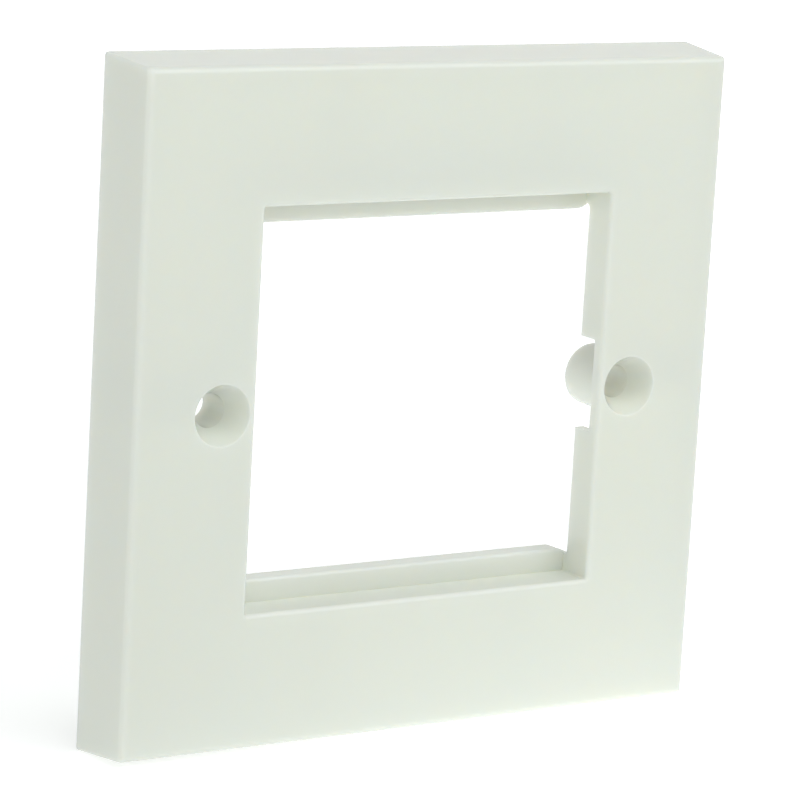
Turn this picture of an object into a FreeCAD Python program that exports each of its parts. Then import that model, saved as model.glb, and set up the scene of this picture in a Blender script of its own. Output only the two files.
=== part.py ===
"""Single-gang wall faceplate with a square opening for two snap-in 25 x 50 mm modules.

The plate is one hollow plastic moulding. It stands upright as it is fixed on a wall:
X runs to the right as seen from the front, Y runs back into the wall and Z runs up.
The origin is the centre of the plate on the plane of its rear rim, so the wall's
surface is the plane Y = 0 and the face of the plate lies at Y = -plate_depth.
All sizes are in millimetres and all angles in degrees.
"""
import FreeCAD
import Part
import math
import os

Vector = FreeCAD.Vector
ALONG_X = Vector(1, 0, 0)
ALONG_Y = Vector(0, 1, 0)
TINY = 0.001

# The modules that snap into the opening
module_width = 25.0
modules_across = 2
module_height = 50.0
module_side_gap = 0.5         # between the outer module and the side of the opening
module_end_gap = 0.2          # between a module and the top or bottom of the opening
bezel_depth = 5.5             # from the face of the plate to the front of the rails
rail_thickness = 3.0          # front to back, held between a module's clips
rail_reach = 2.9              # how far a rail stands into the opening
rail_edge_radius = 0.4
rail_end_radius = 2.6

# The plate
plate_width = 86.0
plate_height = 86.0
rail_setback = 1.1            # from the back of the rails to the wall
side_draft = 5.0
corner_radius = 0.5
front_edge_radius = 0.8
face_thickness = 1.65
rim_thickness = 2.0
inner_corner_radius = 1.2
inner_floor_radius = 0.6

# The collar around the opening
collar_thickness = 1.3
opening_corner_radius = 0.3
opening_edge_radius = 0.55
side_wall_step = 0.8          # how far the collar's sides stop short of the rails
side_window_margin = 0.8      # how far the window in a side runs past each rail's edge
side_window_radius = 0.8

# The wall screws
bore_diameter = 4.3
head_recess_diameter = 7.7
head_recess_depth = 3.3
head_recess_edge_radius = 0.15
head_recess_land = 0.1        # flat face between a recess and the opening's rounded edge
boss_end_diameter = 8.0
boss_draft = 1.5
boss_setback = 1.0            # from the end of a boss to the wall
boss_notch_clearance = 1.8    # each side of a boss, where the collar is cut away
boss_notch_radius = 0.3

# Stiffening ribs
rib_thickness = 1.2
rib_height = 2.5
rib_spacing = 30.0
boss_web_setback = 2.6        # from the edge of a boss's web to the wall

# Worked out from the sizes above
plate_depth = bezel_depth + rail_thickness + rail_setback
opening_width = modules_across * module_width + 2 * module_side_gap
opening_height = module_height + 2 * module_end_gap
rail_gap = opening_height - 2 * rail_reach
face_y = -plate_depth
floor_y = face_y + face_thickness
root_y = face_y + face_thickness / 2    # where walls that stand on the floor begin
rail_front_y = face_y + bezel_depth
rail_back_y = rail_front_y + rail_thickness
face_inset = plate_depth * math.tan(math.radians(side_draft))
recess_clearance = opening_edge_radius + head_recess_land + head_recess_edge_radius
screw_spacing = opening_width + 2 * recess_clearance + head_recess_diameter
boss_length = -boss_setback - floor_y
boss_root_diameter = boss_end_diameter + 2 * boss_length * math.tan(math.radians(boss_draft))


def slab(width, height, front_y, back_y):
    """A block centred on the plate, from front_y back to back_y."""
    corner = Vector(-width / 2, front_y, -height / 2)
    return Part.makeBox(width, back_y - front_y, height, corner)


def edges_along(shape, axis):
    """The straight edges of a shape that run along an axis."""
    found = []
    for edge in shape.Edges:
        run = edge.Vertexes[-1].Point - edge.Vertexes[0].Point
        if run.Length > TINY and abs(run.normalize().dot(axis)) > 1 - TINY:
            found.append(edge)
    return found


def edges_at_depth(shape, y):
    """The edges of a shape that lie in the plane at depth y."""
    return [
        edge for edge in shape.Edges
        if abs(edge.BoundBox.YMin - y) < TINY and abs(edge.BoundBox.YMax - y) < TINY
    ]


def edges_inside(edges, centre_x, width, height):
    """Those edges that lie within a rectangle centred at centre_x on the X axis."""
    found = []
    for edge in edges:
        box = edge.BoundBox
        half_x = max(box.XMax - centre_x, centre_x - box.XMin)
        half_z = max(box.ZMax, -box.ZMin)
        if half_x < width / 2 + TINY and half_z < height / 2 + TINY:
            found.append(edge)
    return found


def drafted_block(width, height, front_y, corner):
    """A block that narrows towards the front by the side draft, with rounded corners.

    The width and the height are those on the wall's plane, where the block ends.
    """
    inset = -front_y * math.tan(math.radians(side_draft))
    half_x, half_z = width / 2, height / 2
    front_x, front_z = half_x - inset, half_z - inset
    block = Part.makeWedge(
        -front_x, front_y, -front_z, -half_z, -half_x,
        front_x, 0, front_z, half_z, half_x,
    )
    slanted = [edge for edge in block.Edges if edge.BoundBox.YLength > TINY]
    return block.makeFillet(corner, slanted)


def opening_block(front_y, back_y, margin=0):
    """A block with the outline of the opening, or one that is larger by a margin."""
    block = slab(opening_width + 2 * margin, opening_height + 2 * margin, front_y, back_y)
    return block.makeFillet(opening_corner_radius + margin, edges_along(block, ALONG_Y))


def make_tray():
    """The face and the outer wall: a drafted tray that is open at the back."""
    body = drafted_block(plate_width, plate_height, face_y, corner_radius)
    body = body.makeFillet(front_edge_radius, edges_at_depth(body, face_y))
    hollow_width = plate_width - 2 * rim_thickness
    hollow_height = plate_height - 2 * rim_thickness
    hollow = drafted_block(hollow_width, hollow_height, floor_y, inner_corner_radius)
    hollow = hollow.makeFillet(inner_floor_radius, edges_at_depth(hollow, floor_y))
    return body.cut(hollow)


def side_cutter(height, front_y, radius):
    """A cutter through both sides of the collar, open at the back, with rounded corners."""
    block = slab(plate_width, height, front_y, plate_depth)
    corners = [edge for edge in edges_along(block, ALONG_X) if edge.BoundBox.YMax < front_y + TINY]
    return block.makeFillet(radius, corners)


def make_collar():
    """The sleeve behind the opening, with a window and a boss notch in each side."""
    sleeve = opening_block(root_y, rail_back_y, collar_thickness)
    sleeve = sleeve.cut(opening_block(face_y, plate_depth))
    window_height = rail_gap + 2 * side_window_margin
    window = side_cutter(window_height, rail_front_y - side_wall_step, side_window_radius)
    notch_height = boss_root_diameter + 2 * boss_notch_clearance
    notch = side_cutter(notch_height, floor_y, boss_notch_radius)
    return sleeve.cut([window, notch])


def reaches_gap(edge):
    """Whether an edge of the lower rail reaches the gap between the rails."""
    return edge.BoundBox.ZMax > -rail_gap / 2 - TINY


def make_rail():
    """The lower rail: a bar with rounded ends that the modules clip over."""
    length = opening_width + 2 * collar_thickness
    height = rail_reach + collar_thickness / 2
    corner = Vector(-length / 2, rail_front_y, -rail_gap / 2 - height)
    bar = Part.makeBox(length, rail_thickness, height, corner)
    upright = edges_along(bar, ALONG_Y)
    bar = bar.makeFillet(rail_end_radius, [edge for edge in upright if reaches_gap(edge)])
    rims = edges_at_depth(bar, rail_front_y) + edges_at_depth(bar, rail_back_y)
    return bar.makeFillet(rail_edge_radius, [edge for edge in rims if reaches_gap(edge)])


def make_boss(side):
    """The screw boss on one side, with the web that ties it to the outer wall."""
    x = side * screw_spacing / 2
    post = Part.makeCone(
        boss_root_diameter / 2, boss_end_diameter / 2, boss_length, Vector(x, floor_y, 0), ALONG_Y
    )
    wall_x = side * (plate_width / 2 - face_inset - rim_thickness / 2)
    corner = Vector(min(x, wall_x), root_y, -rib_thickness / 2)
    web = Part.makeBox(abs(wall_x - x), -boss_web_setback - root_y, rib_thickness, corner)
    return post.fuse(web)


def make_ribs():
    """Two low ribs above the collar and two below it, out to the plate's outer wall."""
    inner = opening_height / 2 + collar_thickness / 2
    outer = plate_height / 2 - face_inset - rim_thickness / 2
    ribs = []
    for x in (-rib_spacing / 2, rib_spacing / 2):
        for low in (-outer, inner):
            corner = Vector(x - rib_thickness / 2, root_y, low)
            ribs.append(Part.makeBox(rib_thickness, floor_y + rib_height - root_y, outer - inner, corner))
    return ribs


def screw_cutter(side):
    """The cutter for one screw: a cone for its head and a bore through the boss."""
    start = Vector(side * screw_spacing / 2, face_y, 0)
    recess = Part.makeCone(head_recess_diameter / 2, bore_diameter / 2, head_recess_depth, start, ALONG_Y)
    bore = Part.makeCylinder(bore_diameter / 2, plate_depth, start, ALONG_Y)
    return recess.fuse(bore)


def round_face_edges(plate):
    """Round the edges of the opening and of the two screw recesses on the face."""
    for side in (-1, 1):
        on_face = edges_at_depth(plate, face_y)
        rim = edges_inside(on_face, side * screw_spacing / 2, head_recess_diameter, head_recess_diameter)
        plate = plate.makeFillet(head_recess_edge_radius, rim)
    on_face = edges_at_depth(plate, face_y)
    return plate.makeFillet(opening_edge_radius, edges_inside(on_face, 0, opening_width, opening_height))


def make_faceplate():
    """The whole moulding as one solid."""
    lower_rail = make_rail()
    upper_rail = lower_rail.mirror(Vector(0, 0, 0), Vector(0, 0, 1))
    bosses = [make_boss(-1), make_boss(1)]
    plate = make_tray().fuse([make_collar(), lower_rail, upper_rail] + bosses + make_ribs())
    plate = plate.cut([opening_block(face_y, rail_front_y), screw_cutter(-1), screw_cutter(1)])
    return round_face_edges(plate.removeSplitter()).Solids[0]


faceplate = make_faceplate()
os.makedirs("parts", exist_ok=True)
faceplate.exportStep("parts/faceplate.step")
print("valid", faceplate.isValid(), "volume mm3", round(faceplate.Volume, 1))
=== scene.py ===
"""Looks of the wall faceplate: its moulded plastic, the studio, the lamps and the camera.

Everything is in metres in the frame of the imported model: X to the right as seen from the
front, Y back into the wall and Z up. The face of the plate looks towards -Y.
"""
import math

import bpy
from mathutils import Matrix, Vector


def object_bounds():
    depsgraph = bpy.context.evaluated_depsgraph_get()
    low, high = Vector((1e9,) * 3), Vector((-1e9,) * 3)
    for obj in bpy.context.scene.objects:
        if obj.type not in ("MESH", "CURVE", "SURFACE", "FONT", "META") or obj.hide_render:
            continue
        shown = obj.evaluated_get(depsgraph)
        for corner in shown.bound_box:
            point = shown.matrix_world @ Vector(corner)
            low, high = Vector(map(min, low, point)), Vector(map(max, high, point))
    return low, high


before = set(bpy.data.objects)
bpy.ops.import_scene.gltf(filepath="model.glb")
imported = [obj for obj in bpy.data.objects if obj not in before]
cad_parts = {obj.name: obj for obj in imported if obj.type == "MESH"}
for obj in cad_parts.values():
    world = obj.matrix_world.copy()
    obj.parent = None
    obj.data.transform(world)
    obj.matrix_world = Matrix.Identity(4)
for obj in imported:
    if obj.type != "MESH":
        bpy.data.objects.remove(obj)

CAD_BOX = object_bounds()
CENTRE = (CAD_BOX[0] + CAD_BOX[1]) / 2
MM = 0.001

# Camera: it faces a point near the plate's centre, from so far left of the front and above it
CAMERA_LEFT_DEG = 33.416
CAMERA_ABOVE_DEG = 11.474
CAMERA_ROLL_DEG = 3.266
CAMERA_DISTANCE = 500.9 * MM
CAMERA_AIM = Vector((-1.65 * MM, 0, -0.79 * MM))
LENS_MM = 180.4
SENSOR_MM = 36.0

# Plastic: off-white with a faint green tint, a soft gloss and a fine moulded texture.
# Light goes a little way into it, which softens the shade in its recesses.
PLASTIC_COLOUR = (0.796, 0.815, 0.772, 1)
PLASTIC_COLOUR_WARM = (0.811, 0.815, 0.750, 1)
TINT_PATCH = 22 * MM
TINT_DETAIL = 3
PLASTIC_IOR = 1.5
SCATTER_SHARE = 1.0
SCATTER_DEPTH = 1.8 * MM
SCATTER_BY_COLOUR = (1.0, 0.92, 0.80)
ROUGHNESS_LOW = 0.20
ROUGHNESS_HIGH = 0.27
ROUGHNESS_PATCH = 9 * MM
ROUGHNESS_DETAIL = 4
PEEL_SIZE = 2.4 * MM
PEEL_DEPTH = 0.004 * MM
GRAIN_SIZE = 0.12 * MM
GRAIN_DEPTH = 0.0006 * MM
SURFACE_DETAIL = 2

# Sockets of a Mix node that mixes colours. It has others for numbers and vectors.
MIX_FACTOR = 0
MIX_COLOUR_A = 6
MIX_COLOUR_B = 7
MIX_COLOUR_RESULT = 2

# Studio: a light that is a little cool, over a white background. Places on the floor are X, Y.
WHITE = (1, 1, 1, 1)
LIGHT_COLOUR = (0.955, 1.0, 0.985, 1)
FLOOR_HALF_SIZE = 3.0
PAPER_COLOUR = (0.80, 0.80, 0.80, 1)
FLOOR_GLOW = 0.16
BRIGHT_SPOT = (80 * MM, 140 * MM)
BRIGHT_SPOT_RADIUS = 220 * MM
BRIGHT_SPOT_GLOW = 2.36
PLATE_FOOT = (0, 0)
SEEN_GLOW_NEAR = 0.55
SEEN_GLOW_FAR = 1.0
SEEN_GLOW_RADIUS = 600 * MM
WORLD_LIGHT = 0.20

# Lamps: name, degrees to the right of the front, degrees up, distance, width, watts
LAMPS = (
    ("key", 35, 40, 0.9, 0.7, 2.05),
    ("high_front", 0, 60, 0.9, 0.7, 1.95),
    ("front_left", -30, 10, 0.9, 0.7, 1.65),
    ("left", -100, 5, 0.9, 0.7, 2.25),
    ("top", 10, 85, 0.9, 0.7, 1.1),
)


def link(tree, from_node, from_socket, to_node, to_socket):
    tree.links.new(from_node.outputs[from_socket], to_node.inputs[to_socket])


def add_noise(tree, coords, size, detail):
    """Noise whose features are about `size` metres across."""
    noise = tree.nodes.new("ShaderNodeTexNoise")
    noise.inputs["Scale"].default_value = 1 / size
    noise.inputs["Detail"].default_value = detail
    link(tree, coords, "Object", noise, "Vector")
    return noise


def add_bump(tree, height, depth, below):
    """A bump of the given depth in metres, laid over another bump or over nothing."""
    bump = tree.nodes.new("ShaderNodeBump")
    bump.inputs["Distance"].default_value = depth
    link(tree, height, "Fac", bump, "Height")
    if below:
        link(tree, below, "Normal", bump, "Normal")
    return bump


def make_plastic(material):
    """Give the moulded plastic its tint, its soft gloss and its fine surface."""
    material.use_nodes = True
    tree = material.node_tree
    tree.nodes.clear()
    output = tree.nodes.new("ShaderNodeOutputMaterial")
    shader = tree.nodes.new("ShaderNodeBsdfPrincipled")
    shader.inputs["IOR"].default_value = PLASTIC_IOR
    shader.inputs["Subsurface Weight"].default_value = SCATTER_SHARE
    shader.inputs["Subsurface Scale"].default_value = SCATTER_DEPTH
    shader.inputs["Subsurface Radius"].default_value = SCATTER_BY_COLOUR
    coords = tree.nodes.new("ShaderNodeTexCoord")

    tint = tree.nodes.new("ShaderNodeMix")
    tint.data_type = "RGBA"
    tint.inputs[MIX_COLOUR_A].default_value = PLASTIC_COLOUR
    tint.inputs[MIX_COLOUR_B].default_value = PLASTIC_COLOUR_WARM
    link(tree, add_noise(tree, coords, TINT_PATCH, TINT_DETAIL), "Fac", tint, MIX_FACTOR)
    link(tree, tint, MIX_COLOUR_RESULT, shader, "Base Color")

    gloss = tree.nodes.new("ShaderNodeMapRange")
    gloss.inputs["To Min"].default_value = ROUGHNESS_LOW
    gloss.inputs["To Max"].default_value = ROUGHNESS_HIGH
    link(tree, add_noise(tree, coords, ROUGHNESS_PATCH, ROUGHNESS_DETAIL), "Fac", gloss, "Value")
    link(tree, gloss, "Result", shader, "Roughness")

    peel = add_bump(tree, add_noise(tree, coords, PEEL_SIZE, SURFACE_DETAIL), PEEL_DEPTH, None)
    grain = add_bump(tree, add_noise(tree, coords, GRAIN_SIZE, SURFACE_DETAIL), GRAIN_DEPTH, peel)
    link(tree, grain, "Normal", shader, "Normal")
    link(tree, shader, "BSDF", output, "Surface")


def seen_directly(tree):
    """The Light Path value that is 1 where the camera sees a surface, also in a mirror or glass."""
    path = tree.nodes.new("ShaderNodeLightPath")
    total = path.outputs["Is Camera Ray"]
    for name in ("Is Glossy Ray", "Is Transmission Ray"):
        both = tree.nodes.new("ShaderNodeMath")
        both.operation = "MAXIMUM"
        tree.links.new(total, both.inputs[0])
        tree.links.new(path.outputs[name], both.inputs[1])
        total = both.outputs[0]
    return total


def glowing_paper(tree, light, place, radius, near, far):
    """White paper with a light of its own, as on a light table.

    The glow is `near` at a place on the table and goes over to `far` at a radius from it.
    """
    coords = tree.nodes.new("ShaderNodeTexCoord")
    distance = tree.nodes.new("ShaderNodeVectorMath")
    distance.operation = "DISTANCE"
    distance.inputs[1].default_value = (*place, CAD_BOX[0].z)
    link(tree, coords, "Object", distance, 0)
    fade = tree.nodes.new("ShaderNodeMapRange")
    fade.interpolation_type = "SMOOTHSTEP"
    fade.inputs["From Max"].default_value = radius
    fade.inputs["To Min"].default_value = near
    fade.inputs["To Max"].default_value = far
    link(tree, distance, "Value", fade, "Value")

    glow = tree.nodes.new("ShaderNodeEmission")
    glow.inputs["Color"].default_value = light
    link(tree, fade, "Result", glow, "Strength")
    paper = tree.nodes.new("ShaderNodeBsdfDiffuse")
    paper.inputs["Color"].default_value = PAPER_COLOUR
    both = tree.nodes.new("ShaderNodeAddShader")
    link(tree, paper, "BSDF", both, 0)
    link(tree, glow, "Emission", both, 1)
    return both


def make_floor():
    """A light table under the plate, which lights it from below, mostly from one bright spot.

    The camera sees a whiter table, also in reflections, that keeps a faint shadow of the plate.
    """
    low = CAD_BOX[0].z
    half = FLOOR_HALF_SIZE
    corners = [(-half, -half, low), (half, -half, low), (half, half, low), (-half, half, low)]
    mesh = bpy.data.meshes.new("studio_floor")
    mesh.from_pydata(corners, [], [(0, 1, 2, 3)])
    floor = bpy.data.objects.new("studio_floor", mesh)
    bpy.context.scene.collection.objects.link(floor)
    material = bpy.data.materials.new("studio_floor")
    material.use_nodes = True
    tree = material.node_tree
    tree.nodes.clear()
    output = tree.nodes.new("ShaderNodeOutputMaterial")
    switch = tree.nodes.new("ShaderNodeMixShader")
    tree.links.new(seen_directly(tree), switch.inputs[0])
    table = glowing_paper(
        tree, LIGHT_COLOUR, BRIGHT_SPOT, BRIGHT_SPOT_RADIUS, BRIGHT_SPOT_GLOW, FLOOR_GLOW
    )
    seen_table = glowing_paper(
        tree, WHITE, PLATE_FOOT, SEEN_GLOW_RADIUS, SEEN_GLOW_NEAR, SEEN_GLOW_FAR
    )
    link(tree, table, "Shader", switch, 1)
    link(tree, seen_table, "Shader", switch, 2)
    link(tree, switch, "Shader", output, "Surface")
    mesh.materials.append(material)


def make_world():
    """Even light from all round, and a plain white background for the camera."""
    world = bpy.data.worlds.new("studio")
    bpy.context.scene.world = world
    world.use_nodes = True
    tree = world.node_tree
    tree.nodes.clear()
    output = tree.nodes.new("ShaderNodeOutputWorld")
    light = tree.nodes.new("ShaderNodeBackground")
    light.inputs["Color"].default_value = LIGHT_COLOUR
    light.inputs["Strength"].default_value = WORLD_LIGHT
    white = tree.nodes.new("ShaderNodeBackground")
    white.inputs["Color"].default_value = WHITE
    switch = tree.nodes.new("ShaderNodeMixShader")
    tree.links.new(seen_directly(tree), switch.inputs[0])
    link(tree, light, "Background", switch, 1)
    link(tree, white, "Background", switch, 2)
    link(tree, switch, "Shader", output, "Surface")


def direction(right_deg, up_deg):
    """The unit vector from the point that a lamp or the camera faces back to it."""
    right, up = math.radians(right_deg), math.radians(up_deg)
    return Vector((math.sin(right) * math.cos(up), -math.cos(right) * math.cos(up), math.sin(up)))


def make_lamp(name, right_deg, up_deg, distance, width, watts):
    """A soft round lamp that shines at the plate's centre."""
    lamp = bpy.data.lights.new(name, "AREA")
    lamp.shape = "DISK"
    lamp.size = width
    lamp.energy = watts
    lamp.color = LIGHT_COLOUR[:3]
    lamp_object = bpy.data.objects.new(name, lamp)
    back = direction(right_deg, up_deg)
    lamp_object.location = CENTRE + back * distance
    lamp_object.rotation_euler = back.to_track_quat("Z", "Y").to_euler()
    bpy.context.scene.collection.objects.link(lamp_object)


def make_camera():
    """The camera at the plate's front left, turned a little about its own line of sight."""
    data = bpy.data.cameras.new("camera")
    data.lens = LENS_MM
    data.sensor_width = SENSOR_MM
    camera = bpy.data.objects.new("camera", data)
    back = direction(-CAMERA_LEFT_DEG, CAMERA_ABOVE_DEG)
    level = back.to_track_quat("Z", "Y").to_matrix()
    roll = Matrix.Rotation(math.radians(CAMERA_ROLL_DEG), 3, "Z")
    place = CENTRE + CAMERA_AIM + back * CAMERA_DISTANCE
    camera.matrix_world = Matrix.Translation(place) @ (level @ roll).to_4x4()
    bpy.context.scene.collection.objects.link(camera)
    bpy.context.scene.camera = camera


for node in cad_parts.values():
    for slot in node.material_slots:
        make_plastic(slot.material)
make_floor()
make_world()
for lamp_facts in LAMPS:
    make_lamp(*lamp_facts)
make_camera()
bpy.context.scene.view_settings.view_transform = "Standard"
